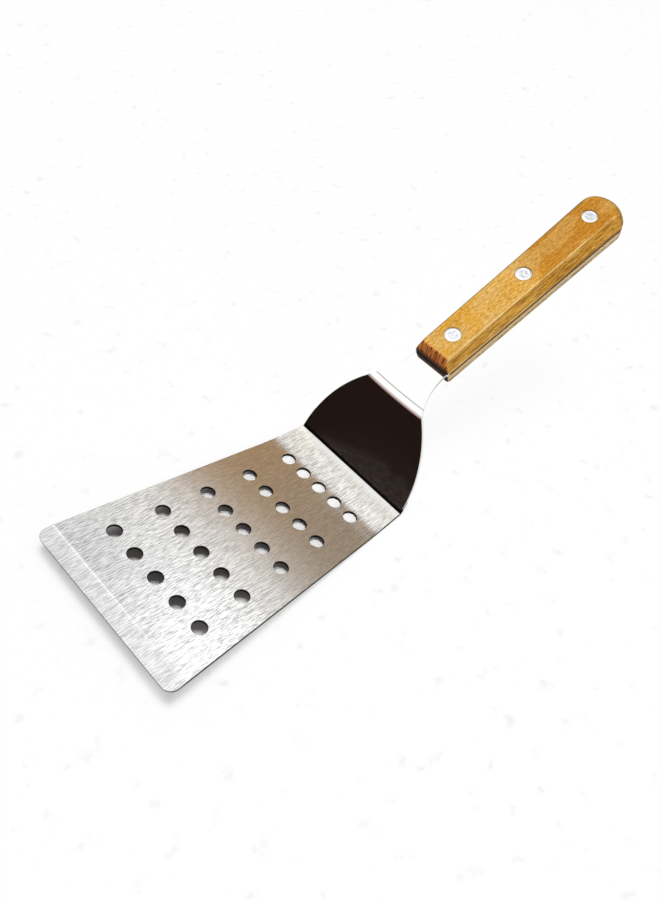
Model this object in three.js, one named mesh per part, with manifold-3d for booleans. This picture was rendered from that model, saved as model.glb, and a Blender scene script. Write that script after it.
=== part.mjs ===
// Burger turner: a perforated steel blade with a cranked shoulder, whose tang is riveted
// between two wooden scales.
//
// Millimetres, +Z up. The turner lies on its heel, the flat strip in front of the shoulder.
// +X runs from the blade's front edge to the butt of the handle, and Y = 0 is the mirror plane.
// The origin is on the table, under the middle of the turner's box.

import * as THREE from 'three';
import { mergeVertices } from 'three/addons/utils/BufferGeometryUtils.js';
import Module from 'manifold-3d';

const wasm = await Module();
wasm.setup();

// Steel sheet and its bends. Lengths run between the corners where the flats would meet.
const SHEET_THICKNESS = 1.4;
const BLADE_LENGTH = 122.7; // front edge to the fold ahead of the heel
const HEEL_LENGTH = 20; // fold to the crease under the shoulder
const SHOULDER_LENGTH = 45.6; // crease to the bend of the neck
const BLADE_RISE_ANGLE = 4; // degrees that the blade rises towards its front edge
const SHOULDER_ANGLE = 66.5; // degrees above the table
const HANDLE_ANGLE = 22.4; // degrees above the table
const FOLD_RADIUS = 24; // inside radii of the three bends
const CREASE_RADIUS = 2;
const NECK_BEND_RADIUS = 5;

// Outline of the steel
const FRONT_WIDTH = 91;
const HEEL_WIDTH = 68.8;
const FRONT_CORNER_RADIUS = 5;
const SHOULDER_RADIUS = 67; // round that draws the shoulder in
const NECK_RADIUS = 38.5; // hollow that runs out into the tang
const NECK_WIDTH = 19.9; // where the hollow ends, just ahead of the wood
const GRIND_WIDTH = 8.2; // ground strip along the front edge
const FRONT_EDGE_THICKNESS = 0.5;

// Perforations
const HOLE_DIAMETER = 6.8;
const HOLE_ROWS = 5;
const HOLES_PER_ROW = 5;
const FIRST_ROW_FROM_FRONT = 26.9;
const LAST_ROW_FROM_FOLD = 1.8;
const HOLE_FROM_SIDE = 14.6; // centre of a row's last hole to the blade's side

// Handle
const HANDLE_LENGTH = 132.1;
const HANDLE_FRONT_WIDTH = 21.4;
const HANDLE_BUTT_WIDTH = 26.1; // where the round of the butt starts
const HANDLE_CORNER_RADIUS = 1.2; // corners of the front end
const HANDLE_SETBACK = 0.7; // steel between the neck's hollow and the wood
const BUTT_ROUND = 10.2; // length of the butt's half ellipse at the tang
const BUTT_FACE_ROUND = 7.2; // and on the flat faces
const BUTT_ROUNDING = 8.3; // how far the butt rounds back from the tang to the flat faces
const SCALE_THICKNESS = 8.1;
const FRONT_SLOPE_START = 3.6; // how high a scale's front end is upright
const FRONT_SLOPE_DEPTH = 2.2; // how far it then slopes back to the flat face
const SCALE_FRONT_INSET = 2.6; // how far each side leans in from the tang to the flat face
const SCALE_BUTT_INSET = 4.1;
const UPPER_EDGE_LAND = 0.5; // upright edges left next to the tang
const LOWER_EDGE_LAND = 4.7;

// Rivets, each a headed pin in a headed sleeve
const RIVET_FROM_HANDLE_FRONT = 14.5;
const RIVET_FROM_BUTT = 19.2;
const RIVET_HEAD_DIAMETER = 8;
const RIVET_HEAD_THICKNESS = 1.6;
const RIVET_HEAD_PROUD = 0.15;
const RIVET_HEAD_CHAMFER = 0.3;
const RIVET_PIN_DIAMETER = 3;
const RIVET_SLEEVE_WALL = 0.7;
const RIVET_PLACES = ['front', 'middle', 'rear'];

// Clearances
const SEAT_GAP = 0.3; // between faces that lie on each other
const BORE_CLEARANCE = 0.3; // round each rivet, sleeve and pin

// Facets
const HOLE_SIDES = 24;
const RIVET_SIDES = 32;
const BEND_STEPS = 6;
const CORNER_STEPS = 6;
const NECK_STEPS = 16;
const BUTT_STEPS = 8;
const SMALLEST_STEP = 0.1;
const CUT_OVERSHOOT = 2;

const STEEL = new THREE.MeshStandardMaterial({ color: 0xc4c2bd, roughness: 0.32, metalness: 1 });
const WOOD = new THREE.MeshStandardMaterial({ color: 0xcf9440, roughness: 0.55, metalness: 0 });
const RIVET_METAL = new THREE.MeshStandardMaterial({ color: 0xd3d6d9, roughness: 0.38, metalness: 1 });

const { degToRad: radians, lerp } = THREE.MathUtils;
const QUARTER = Math.PI / 2;
const HALF_SHEET = SHEET_THICKNESS / 2;

// Booleans

function toSolid(geometry) {
  const bare = geometry.clone();
  bare.deleteAttribute('normal');
  bare.deleteAttribute('uv');
  const merged = mergeVertices(bare);
  return new wasm.Manifold(new wasm.Mesh({
    numProp: 3,
    vertProperties: Float32Array.from(merged.attributes.position.array),
    triVerts: Uint32Array.from(merged.index.array),
  }));
}

function toGeometry(solid) {
  const { vertProperties, triVerts } = solid.getMesh();
  const geometry = new THREE.BufferGeometry();
  geometry.setAttribute('position', new THREE.BufferAttribute(vertProperties, 3));
  geometry.setIndex(new THREE.BufferAttribute(triVerts, 1));
  geometry.computeVertexNormals();
  return geometry;
}

function cutAll(solid, cutters) {
  return cutters.reduce((rest, cutter) => rest.subtract(toSolid(cutter)), solid);
}

// A round cutter that stands on z = low and reaches z = high
function drill(diameter, low, high, sides) {
  const cutter = new THREE.CylinderGeometry(diameter / 2, diameter / 2, high - low, sides);
  return cutter.rotateX(Math.PI / 2).translate(0, 0, (low + high) / 2);
}

// The sheet's middle line, from the front edge to the butt: flats joined by round bends.
// A piece has a length along the line, the heading where it starts and the angle it turns.

function bend(fromDegrees, toDegrees, insideRadius) {
  const turn = radians(toDegrees - fromDegrees);
  const radius = insideRadius + HALF_SHEET;
  return {
    heading: radians(fromDegrees),
    turn,
    length: Math.abs(turn) * radius,
    setback: radius * Math.tan(Math.abs(turn) / 2),
  };
}

function flat(headingDegrees, length) {
  return { heading: radians(headingDegrees), turn: 0, length };
}

const fold = bend(-BLADE_RISE_ANGLE, 0, FOLD_RADIUS);
const crease = bend(0, SHOULDER_ANGLE, CREASE_RADIUS);
const neckBend = bend(SHOULDER_ANGLE, HANDLE_ANGLE, NECK_BEND_RADIUS);

const blade = flat(-BLADE_RISE_ANGLE, BLADE_LENGTH - fold.setback);
const heel = flat(0, HEEL_LENGTH - fold.setback - crease.setback);
const shoulder = flat(SHOULDER_ANGLE, SHOULDER_LENGTH - crease.setback - neckBend.setback);

// The outline is drawn in along two arcs that touch: a round one from the crease,
// then a hollow one that ends parallel to the tang.
const heelHalf = HEEL_WIDTH / 2;
const neckHalf = NECK_WIDTH / 2;
const handleFrontHalf = HANDLE_FRONT_WIDTH / 2;
const handleButtHalf = HANDLE_BUTT_WIDTH / 2;
const arcReach = SHOULDER_RADIUS + NECK_RADIUS;
const neckRun = Math.sqrt(arcReach ** 2 - (arcReach - heelHalf + neckHalf) ** 2);
const roundRun = (neckRun * SHOULDER_RADIUS) / arcReach;

const creaseAt = blade.length + fold.length + heel.length + crease.length / 2;
const bendsEndAt = creaseAt + crease.length / 2 + shoulder.length + neckBend.length;
const neckEndAt = creaseAt + neckRun;
const handleAt = Math.max(neckEndAt, bendsEndAt) + HANDLE_SETBACK;
const buttAt = handleAt + HANDLE_LENGTH;

const tang = flat(HANDLE_ANGLE, buttAt - bendsEndAt);
const pieces = [blade, fold, heel, crease, shoulder, neckBend, tang];

// The butt is half an ellipse that starts this far from the handle's front
const buttStart = HANDLE_LENGTH - BUTT_ROUND;

function placePieces() {
  const at = new THREE.Vector2();
  let start = 0;
  for (const piece of pieces) {
    piece.start = start;
    piece.from = at.clone();
    at.add(advance(piece, piece.length));
    start += piece.length;
  }
  const lift = HALF_SHEET - heel.from.y;
  for (const piece of pieces) {
    piece.from.y += lift;
  }
}

// How far a piece carries the line when it is followed for a distance
function advance(piece, distance) {
  if (piece.turn === 0) {
    return new THREE.Vector2(Math.cos(piece.heading), Math.sin(piece.heading)).multiplyScalar(distance);
  }
  const radius = piece.length / piece.turn;
  const heading = piece.heading + distance / radius;
  return new THREE.Vector2(
    radius * (Math.sin(heading) - Math.sin(piece.heading)),
    radius * (Math.cos(piece.heading) - Math.cos(heading)),
  );
}

// Place and heading of the sheet's middle at a distance along it
function locate(distance) {
  const piece = pieces.findLast((each) => each.start <= distance) ?? pieces[0];
  const along = distance - piece.start;
  const point = piece.from.clone().add(advance(piece, along));
  const heading = piece.heading + (piece.turn * along) / piece.length;
  return { x: point.x, z: point.y, heading };
}

// Frame on the sheet: x along it to the butt, z out of its upper face
function sheetFrame(distance) {
  const { x, z, heading } = locate(distance);
  return new THREE.Matrix4().makeRotationY(-heading).setPosition(x, 0, z);
}

// Half widths of the handle and of the whole blank

function handleHalf(fromFront) {
  if (fromFront >= buttStart) {
    const intoButt = Math.min(1, (fromFront - buttStart) / BUTT_ROUND);
    return handleButtHalf * Math.sqrt(1 - intoButt ** 2);
  }
  const side = lerp(handleFrontHalf, handleButtHalf, fromFront / buttStart);
  const intoCorner = Math.max(0, HANDLE_CORNER_RADIUS - fromFront);
  return side - HANDLE_CORNER_RADIUS + Math.sqrt(HANDLE_CORNER_RADIUS ** 2 - intoCorner ** 2);
}

function blankHalf(distance) {
  if (distance >= handleAt) {
    const half = handleHalf(distance - handleAt);
    return distance < handleAt + buttStart ? Math.max(neckHalf, half) : half;
  }
  if (distance >= neckEndAt) {
    return neckHalf;
  }
  if (distance > creaseAt + roundRun) {
    return neckHalf + NECK_RADIUS - Math.sqrt(NECK_RADIUS ** 2 - (neckEndAt - distance) ** 2);
  }
  if (distance > creaseAt) {
    return heelHalf - SHOULDER_RADIUS + Math.sqrt(SHOULDER_RADIUS ** 2 - (distance - creaseAt) ** 2);
  }
  const side = lerp(FRONT_WIDTH / 2, heelHalf, distance / creaseAt);
  const intoCorner = Math.max(0, FRONT_CORNER_RADIUS - distance);
  return side - FRONT_CORNER_RADIUS + Math.sqrt(FRONT_CORNER_RADIUS ** 2 - intoCorner ** 2);
}

// Height of the upper face above the sheet's middle: the grind thins it to the front edge
function upperFace(distance) {
  const ground = Math.max(0, 1 - distance / GRIND_WIDTH);
  return HALF_SHEET - ground * (SHEET_THICKNESS - FRONT_EDGE_THICKNESS);
}

// Distances along the blank where its outline or its bend changes
function stations() {
  const steps = (count, place) => Array.from({ length: count + 1 }, (_, i) => place(i / count));
  const lastTurn = QUARTER * (1 - 0.5 / BUTT_STEPS);
  const places = [
    ...steps(CORNER_STEPS, (t) => FRONT_CORNER_RADIUS * (1 - Math.cos(t * QUARTER))),
    GRIND_WIDTH,
    ...[fold, crease, neckBend].flatMap((piece) => steps(BEND_STEPS, (t) => piece.start + t * piece.length)),
    ...steps(NECK_STEPS, (t) => creaseAt + t * neckRun),
    ...steps(CORNER_STEPS, (t) => handleAt + HANDLE_CORNER_RADIUS * (1 - Math.cos(t * QUARTER))),
    ...steps(BUTT_STEPS, (t) => handleAt + buttStart + BUTT_ROUND * Math.sin(t * lastTurn)),
  ];
  places.sort((a, b) => a - b);
  return places.filter((place, i) => i === 0 || place - places[i - 1] > SMALLEST_STEP);
}

// The blank: a box cut into slices along its length, with each slice moved to its station
function bentBlank() {
  const places = stations();
  const slices = places.length - 1;
  const geometry = new THREE.BoxGeometry(1, 1, 1, slices, 1, 1);
  const position = geometry.attributes.position;
  const corner = new THREE.Vector3();
  for (let i = 0; i < position.count; i += 1) {
    corner.fromBufferAttribute(position, i);
    const distance = places[Math.round((corner.x + 0.5) * slices)];
    const height = corner.z > 0 ? upperFace(distance) : -HALF_SHEET;
    corner.set(0, Math.sign(corner.y) * blankHalf(distance), height);
    corner.applyMatrix4(sheetFrame(distance));
    position.setXYZ(i, corner.x, corner.y, corner.z);
  }
  return geometry;
}

function perforations() {
  const cutters = [];
  const lastRow = BLADE_LENGTH - LAST_ROW_FROM_FOLD;
  for (let row = 0; row < HOLE_ROWS; row += 1) {
    const distance = lerp(FIRST_ROW_FROM_FRONT, lastRow, row / (HOLE_ROWS - 1));
    const outermost = blankHalf(distance) - HOLE_FROM_SIDE;
    for (let column = 0; column < HOLES_PER_ROW; column += 1) {
      const across = lerp(-outermost, outermost, column / (HOLES_PER_ROW - 1));
      const cutter = drill(HOLE_DIAMETER, -SHEET_THICKNESS, SHEET_THICKNESS, HOLE_SIDES);
      cutters.push(cutter.translate(0, across, 0).applyMatrix4(sheetFrame(distance)));
    }
  }
  return cutters;
}

// Heights in the handle's frame, whose z = 0 is the middle of the tang
const scaleSeat = HALF_SHEET + SEAT_GAP;
const scaleFace = scaleSeat + SCALE_THICKNESS;
const headTop = scaleFace + RIVET_HEAD_PROUD;
const headUnder = headTop - RIVET_HEAD_THICKNESS;
const headSeat = headUnder - SEAT_GAP;
const sleeveBore = RIVET_PIN_DIAMETER + 2 * BORE_CLEARANCE;
const sleeveDiameter = sleeveBore + 2 * RIVET_SLEEVE_WALL;
const barrelBore = sleeveDiameter + 2 * BORE_CLEARANCE;
const headBore = RIVET_HEAD_DIAMETER + 2 * BORE_CLEARANCE;

function rivetPlace(index) {
  const last = HANDLE_LENGTH - RIVET_FROM_BUTT;
  return lerp(RIVET_FROM_HANDLE_FRONT, last, index / (RIVET_PLACES.length - 1));
}

function tangBores() {
  const frame = sheetFrame(handleAt);
  return RIVET_PLACES.map((_, index) => {
    const cutter = drill(barrelBore, -SHEET_THICKNESS, SHEET_THICKNESS, RIVET_SIDES);
    return cutter.translate(rivetPlace(index), 0, 0).applyMatrix4(frame);
  });
}

function makeSteel() {
  const blank = toSolid(bentBlank());
  return toGeometry(cutAll(blank, [...perforations(), ...tangBores()]));
}

// A scale is skinned over level outlines, from its seat up to its flat face. Its sides lean in,
// its front end slopes back, and its butt rounds back as a quarter ellipse.
// It is made for the upper side, on z = scaleSeat.

function scaleOutline(height, edgeLand) {
  const risen = height / SCALE_THICKNESS;
  const leaning = Math.max(0, height - edgeLand) / (SCALE_THICKNESS - edgeLand);
  const frontHalf = handleFrontHalf - SCALE_FRONT_INSET * leaning;
  const buttHalf = handleButtHalf - SCALE_BUTT_INSET * leaning;
  const round = lerp(BUTT_ROUND, BUTT_FACE_ROUND, risen);
  const tip = HANDLE_LENGTH - BUTT_ROUNDING * (1 - Math.sqrt(1 - risen ** 2));
  const sloping = Math.max(0, height - FRONT_SLOPE_START) / (SCALE_THICKNESS - FRONT_SLOPE_START);
  const front = FRONT_SLOPE_DEPTH * sloping;
  const corner = HANDLE_CORNER_RADIUS;
  const cornerAt = front + corner;
  const cornerOut = frontHalf - corner;
  const right = new THREE.EllipseCurve(cornerAt, -cornerOut, corner, corner, Math.PI, 3 * QUARTER);
  const butt = new THREE.EllipseCurve(tip - round, 0, round, buttHalf, -QUARTER, QUARTER);
  const left = new THREE.EllipseCurve(cornerAt, cornerOut, corner, corner, QUARTER, Math.PI);
  const outline = [
    ...right.getPoints(CORNER_STEPS),
    ...butt.getPoints(2 * BUTT_STEPS),
    ...left.getPoints(CORNER_STEPS),
  ];
  return outline.map(({ x, y }) => new THREE.Vector3(x, y, scaleSeat + height));
}

function scaleHeights(edgeLand) {
  const heights = [edgeLand, FRONT_SLOPE_START];
  for (let step = 0; step <= BUTT_STEPS; step += 1) {
    const turn = (QUARTER * step) / BUTT_STEPS;
    heights.push(SCALE_THICKNESS * Math.sin(turn));
  }
  heights.sort((a, b) => b - a);
  const kept = heights.filter((height, i) => i === 0 || heights[i - 1] - height > SMALLEST_STEP);
  return kept.reverse();
}

// A solid over level outlines that have the same number of points, from the lowest up
function skin(outlines) {
  const size = outlines[0].length;
  const last = size * (outlines.length - 1);
  const faces = [];
  for (let i = 0; i < size; i += 1) {
    const next = (i + 1) % size;
    for (let level = 0; level < last; level += size) {
      faces.push(level + i, level + next, level + size + next);
      faces.push(level + i, level + size + next, level + size + i);
    }
  }
  for (let i = 2; i < size; i += 1) {
    faces.push(0, i, i - 1);
    faces.push(last, last + i - 1, last + i);
  }
  const geometry = new THREE.BufferGeometry().setFromPoints(outlines.flat());
  return geometry.setIndex(faces);
}

function scaleBores() {
  const boreTop = scaleFace + CUT_OVERSHOOT;
  return RIVET_PLACES.flatMap((_, index) => [
    drill(barrelBore, -CUT_OVERSHOOT, boreTop, RIVET_SIDES).translate(rivetPlace(index), 0, 0),
    drill(headBore, headSeat, boreTop, RIVET_SIDES).translate(rivetPlace(index), 0, 0),
  ]);
}

function makeScale(edgeLand) {
  const outlines = scaleHeights(edgeLand).map((height) => scaleOutline(height, edgeLand));
  return toGeometry(cutAll(toSolid(skin(outlines)), scaleBores()));
}

// Rivet halves, turned about z. Profiles run up the outside, from the axis to the axis.

function turned(profile) {
  const points = profile.map(([radius, height]) => new THREE.Vector2(radius, height));
  return new THREE.LatheGeometry(points, RIVET_SIDES).rotateX(Math.PI / 2);
}

function makeRivetPin() {
  const head = RIVET_HEAD_DIAMETER / 2;
  const pin = RIVET_PIN_DIAMETER / 2;
  return turned([
    [0, SEAT_GAP - headUnder],
    [pin, SEAT_GAP - headUnder],
    [pin, headUnder],
    [head, headUnder],
    [head, headTop - RIVET_HEAD_CHAMFER],
    [head - RIVET_HEAD_CHAMFER, headTop],
    [0, headTop],
  ]);
}

function makeRivetSleeve() {
  const head = RIVET_HEAD_DIAMETER / 2;
  const rim = headUnder - SEAT_GAP;
  return turned([
    [0, -headTop],
    [head - RIVET_HEAD_CHAMFER, -headTop],
    [head, RIVET_HEAD_CHAMFER - headTop],
    [head, -headUnder],
    [sleeveDiameter / 2, -headUnder],
    [sleeveDiameter / 2, rim],
    [sleeveBore / 2, rim],
    [sleeveBore / 2, -headUnder],
    [0, -headUnder],
  ]);
}

// Assembly

function addMesh(group, name, geometry, material) {
  const mesh = new THREE.Mesh(geometry, material);
  mesh.name = name;
  group.add(mesh);
  return mesh;
}

placePieces();

const turner = new THREE.Group();
addMesh(turner, 'blade_and_tang', makeSteel(), STEEL);

const handle = new THREE.Group();
handle.applyMatrix4(sheetFrame(handleAt));
turner.add(handle);

addMesh(handle, 'upper_scale', makeScale(UPPER_EDGE_LAND), WOOD);
addMesh(handle, 'lower_scale', makeScale(LOWER_EDGE_LAND), WOOD).rotation.x = Math.PI;

RIVET_PLACES.forEach((place, index) => {
  addMesh(handle, `rivet_pin_${place}`, makeRivetPin(), RIVET_METAL).position.x = rivetPlace(index);
  addMesh(handle, `rivet_sleeve_${place}`, makeRivetSleeve(), RIVET_METAL).position.x = rivetPlace(index);
});

const box = new THREE.Box3().setFromObject(turner, true);
turner.position.x = -(box.min.x + box.max.x) / 2;
turner.updateMatrixWorld(true);

export default turner;
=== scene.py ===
"""Looks of a burger turner: a perforated steel blade whose tang is riveted between wooden scales.

Metres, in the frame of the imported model: +X from the blade's front edge to the butt of the
handle, Y = 0 the mirror plane, +Z up from the table that the heel lies on.
"""

import math

import bmesh
import bpy
import numpy as np
from bpy.props import FloatProperty, FloatVectorProperty, IntProperty, PointerProperty
from bpy.types import Operator, Panel, PropertyGroup
from mathutils import Euler, Matrix, Vector


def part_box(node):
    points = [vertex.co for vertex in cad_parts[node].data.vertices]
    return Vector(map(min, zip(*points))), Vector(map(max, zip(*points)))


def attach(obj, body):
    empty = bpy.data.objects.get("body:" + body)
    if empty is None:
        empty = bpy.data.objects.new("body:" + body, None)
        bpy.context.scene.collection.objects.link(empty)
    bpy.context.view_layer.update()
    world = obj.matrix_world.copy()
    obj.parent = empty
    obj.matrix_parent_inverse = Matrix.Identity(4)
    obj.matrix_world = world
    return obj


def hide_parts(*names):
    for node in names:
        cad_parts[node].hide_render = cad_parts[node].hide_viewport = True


bl_info = {
    "name": "Burger turner",
    "version": (1, 0, 0),
    "blender": (4, 5, 0),
    "location": "3D View > Sidebar > Turner",
    "description": "Makes a perforated steel turner with a riveted wooden handle",
    "category": "Add Mesh",
}

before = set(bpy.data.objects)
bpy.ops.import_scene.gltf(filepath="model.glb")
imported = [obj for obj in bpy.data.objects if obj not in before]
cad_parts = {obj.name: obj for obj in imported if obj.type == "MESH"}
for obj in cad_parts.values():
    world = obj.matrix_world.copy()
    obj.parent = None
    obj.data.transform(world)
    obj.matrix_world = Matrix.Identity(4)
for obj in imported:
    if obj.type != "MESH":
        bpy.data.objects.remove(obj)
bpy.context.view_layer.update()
STEEL_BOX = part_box("blade_and_tang")

MM = 0.001
RIVET_PLACES = ("front", "middle", "rear")
SMOOTH_ANGLE = math.radians(32)
HOLE_SIDES = 64
WHITE = (1.0, 1.0, 1.0)


def lerp(low, high, share):
    """The value at a share of the way from low to high."""
    return low + (high - low) * share


def quarter_turns(steps):
    """Angles from 0 to a right angle in even steps."""
    return [i / steps * math.pi / 2 for i in range(steps + 1)]


def spaced(places, step, reverse=False):
    """The places in order, without those within a step of the one before."""
    kept = []
    for place in sorted(places, reverse=reverse):
        if not kept or abs(place - kept[-1]) > step:
            kept.append(place)
    return kept


# Sizes and colours that a user would change


def length(name, millimetres, description):
    """A length, given in millimetres."""
    return FloatProperty(
        name=name,
        description=description,
        default=millimetres * MM,
        min=0.0,
        precision=5,
        unit="LENGTH",
    )


def angle(name, degrees, description):
    """An angle, given in degrees."""
    return FloatProperty(
        name=name,
        description=description,
        default=math.radians(degrees),
        subtype="ANGLE",
    )


def count(name, default, description):
    """A whole number, at least one."""
    return IntProperty(name=name, description=description, default=default, min=1)


def colour(name, default, description):
    """A colour, given as linear red, green and blue."""
    return FloatVectorProperty(
        name=name,
        description=description,
        default=default,
        size=3,
        min=0.0,
        max=1.0,
        subtype="COLOR",
    )


class TurnerSizes(PropertyGroup):
    """Sizes of the turner. Bends, setback, bores and edges differ a little from the solids'"""

    sheet: length("Sheet", 1.4, "Thickness of the steel")
    blade: length("Blade", 122.7, "Front edge to the fold ahead of the heel")
    heel: length("Heel", 20, "Fold to the crease under the shoulder")
    shoulder: length("Shoulder", 45.6, "Crease to the bend of the neck")
    rise: angle("Blade rise", 4, "How far the blade rises towards its front edge")
    shoulder_angle: angle("Shoulder angle", 66.5, "Shoulder above the table")
    handle_angle: angle("Handle angle", 22.4, "Handle above the table")
    fold_radius: length("Fold radius", 100, "Inside radius of the fold")
    crease_radius: length("Crease radius", 0.3, "Inside radius of the crease")
    neck_bend_radius: length("Neck bend radius", 5, "Inside radius of the bend of the neck")
    front_width: length("Front width", 91, "Width of the blade at its front edge")
    heel_width: length("Heel width", 68.8, "Width of the blade at the crease")
    front_corner: length("Front corner", 5, "Radius of the blade's front corners")
    shoulder_radius: length("Shoulder radius", 67, "Round that draws the shoulder in")
    neck_radius: length("Neck radius", 38.5, "Hollow that runs out into the tang")
    grind: length("Grind", 8.2, "Ground strip along the front edge")
    front_edge: length("Front edge", 0.5, "Thickness left at the front edge")
    edge_break: length("Broken edges", 0.26, "Chamfer along the edges of the steel")
    hole: length("Hole", 6.8, "Diameter of a perforation")
    hole_rows: count("Rows", 5, "Rows of perforations")
    hole_columns: count("Holes per row", 5, "Perforations in a row")
    first_row: length("First row", 26.9, "First row from the front edge")
    last_row: length("Last row", 1.8, "Last row ahead of the fold")
    hole_from_side: length("Hole from side", 14.6, "Last hole of a row from the blade's side")
    hole_rim: length("Hole rim", 0.12, "Chamfer round a perforation")
    neck_bow: length("Neck bow", 0.6, "How far the bend of the neck bows towards the blade")
    neck_width: length("Neck width", 19.9, "Steel just ahead of the wood")
    handle: length("Handle", 132.1, "Length of the wood")
    handle_front: length("Handle front", 21.4, "Width of the handle at its front")
    handle_butt: length("Handle butt", 26.1, "Width where the round of the butt starts")
    handle_corner: length("Handle corner", 1.2, "Corners of the handle's front end")
    setback: length("Setback", 0.827, "Steel between the neck's hollow and the wood")
    butt_round: length("Butt round", 10.2, "Length of the butt's half ellipse at the tang")
    butt_face_round: length("Butt face round", 7.2, "The half ellipse on the flat faces")
    butt_rounding: length("Butt rounding", 8.3, "How far the butt rounds back to the flat faces")
    scale: length("Scale", 8.1, "Thickness of a scale")
    front_inset: length("Front inset", 2.6, "Lean of a scale's sides at its front")
    butt_inset: length("Butt inset", 4.1, "Lean of a scale's sides at its butt")
    upper_land: length("Upper land", 0.5, "Upright edge of the upper scale")
    lower_land: length("Lower land", 4.7, "Upright edge of the lower scale")
    arris: length("Arris", 0.55, "Rounding between a scale's face and its sides")
    front_upright: length("Front upright", 3.6, "How high a scale's front end is upright")
    front_slope: length("Front slope", 2.2, "How far a scale's front end then slopes back")
    rivet_first: length("First rivet", 14.5, "First rivet from the handle's front")
    rivet_last: length("Last rivet", 19.2, "Last rivet from the butt")
    rivet_head: length("Rivet head", 8, "Diameter of a rivet head")
    rivet_head_deep: length("Rivet head depth", 1.6, "Thickness of a rivet head")
    rivet_proud: length("Rivet head proud", 0.15, "How far a head stands out of the wood")
    rivet_edge: length("Rivet edge", 0.3, "Rounding round a rivet head")
    rivet_dish: length("Rivet dish", 0.12, "Depth of the dish in a rivet head")
    pin: length("Pin", 3, "Diameter of a rivet's pin")
    sleeve: length("Sleeve", 5, "Diameter of a rivet's sleeve")
    seat_gap: length("Seat gap", 0.3, "Gap between faces that lie on each other")
    bore_gap: length("Bore gap", 0.14, "Gap round a rivet head")


class TurnerColours(PropertyGroup):
    """Colours of the turner's finishes and of the stage"""

    steel: colour("Steel", (0.765, 0.765, 0.76), "Polished stainless steel")
    # Also the colour of the painted highlight along the grind
    steel_bright: colour("Bright steel", (1.0, 1.0, 0.995), "Crests of the brush marks")
    steel_dull: colour("Dull steel", (0.50, 0.505, 0.51), "Hollows of the brush marks")
    steel_ground: colour("Ground steel", (0.90, 0.90, 0.89), "Ground strip along the front edge")
    # Painted warm reflection on the heel
    heel_reflection: colour("Heel steel", (1.0, 0.93, 0.72), "Warm sheen of the heel")
    # Painted shade in the crease
    crease_shade: colour("Crease dirt", (0.03, 0.022, 0.018), "Dark line in the crease")
    # Raw edges darkened further as painted shade, also the painted shade lines on the neck
    cut_steel_and_shade: colour("Cut steel", (0.13, 0.115, 0.10), "Punched and sheared edges of the blade")
    # Painted shade of the gap between the scales, on the tang's edges
    tang_gap_shade: colour("Stained tang", (0.13, 0.05, 0.018), "Oil on the tang between the scales")
    wood_pale: colour("Pale wood", (0.77, 0.46, 0.125), "Pale growth of the wood")
    wood_deep: colour("Deep wood", (0.77, 0.39, 0.045), "Deep golden growth of the wood")
    wood_aged: colour("Aged wood", (0.75, 0.60, 0.36), "Tint of the wood towards the butt")
    wood_fleck: colour("Flecks", (0.34, 0.15, 0.015), "Rays and pores of the wood")
    # Pale grain and lower band, and the painted highlight on the right arris
    pale_wood_and_highlight: colour("Worn wood", (0.95, 0.72, 0.34), "Wood rubbed pale along its edges")
    # Painted shade on the left arris, round the butt's rim and round the rivet heads
    wood_edge_shade: colour("Grime", (0.20, 0.14, 0.035), "Handled edge of the wood")
    # Paler on the lower scale's land, partly as painted light on that side
    sapwood: colour("Sapwood", (0.92, 0.77, 0.50), "Board of the lower scale")
    sapwood_deep: colour("Deep sapwood", (0.80, 0.62, 0.36), "Growth in the lower scale")
    end_grain: colour("End grain", (0.85, 0.28, 0.065), "Sloping front end of a scale")
    # Also painted shade on the lower part of a front end, and along the upper scale's lower edge
    # towards the butt
    end_tick_and_shade: colour("End grain ticks", (0.17, 0.05, 0.018), "Open pores of the front end")
    # Painted shade on the foot of a front end
    dark_end_shade: colour("Dark end grain", (0.02, 0.008, 0.006), "Oil soaked foot of the front end")
    rivet: colour("Rivet", (0.93, 0.94, 0.95), "Rivet heads")
    rivet_ground: colour("Ground rivet", (0.62, 0.67, 0.74), "Ground middle of a rivet head")
    floor: colour("Floor", (0.95, 0.95, 0.95), "Pale floor")
    wall: colour("Wall", (0.435, 0.285, 0.155), "Wall that the blade reflects")
    wall_grey: colour("Grey wall", (0.385, 0.295, 0.21), "Right end of that wall")
    dark: colour("Dark card", (0.018, 0.010, 0.008), "Card that the shoulder reflects")


class TurnerStage(PropertyGroup):
    """Camera and light of the stage"""

    camera_place: FloatVectorProperty(
        name="Camera place",
        description="Where the camera stands",
        default=(-0.25201, -0.15163, 0.30319),
        precision=5,
        subtype="TRANSLATION",
    )
    camera_turn: FloatVectorProperty(
        name="Camera turn",
        description="How the camera is turned",
        default=tuple(math.radians(a) for a in (43.00291, -11.22668, -43.69810)),
        precision=5,
        subtype="EULER",
    )
    camera_lens: FloatProperty(
        name="Camera lens",
        description="Focal length in millimetres on a 36 mm sensor",
        default=34.0,
        unit="CAMERA",
    )
    key_power: FloatProperty(
        name="Key power",
        description="Power of the soft lamp over the turner",
        default=33.0,
        unit="POWER",
    )
    fill_power: FloatProperty(
        name="Fill power",
        description="Power of the soft lamp to the right of the turner",
        default=6.2,
        unit="POWER",
    )
    ambient: FloatProperty(
        name="Ambient",
        description="Strength of the even light from all round",
        default=0.30,
        min=0.0,
    )


# Node trees


def node_operator(operation, swapped=False):
    """A method that joins two values by a Math node, in their order or swapped."""

    def method(self, other):
        values = (other, self) if swapped else (self, other)
        return self.kit.math(operation, *values)

    return method


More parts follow.
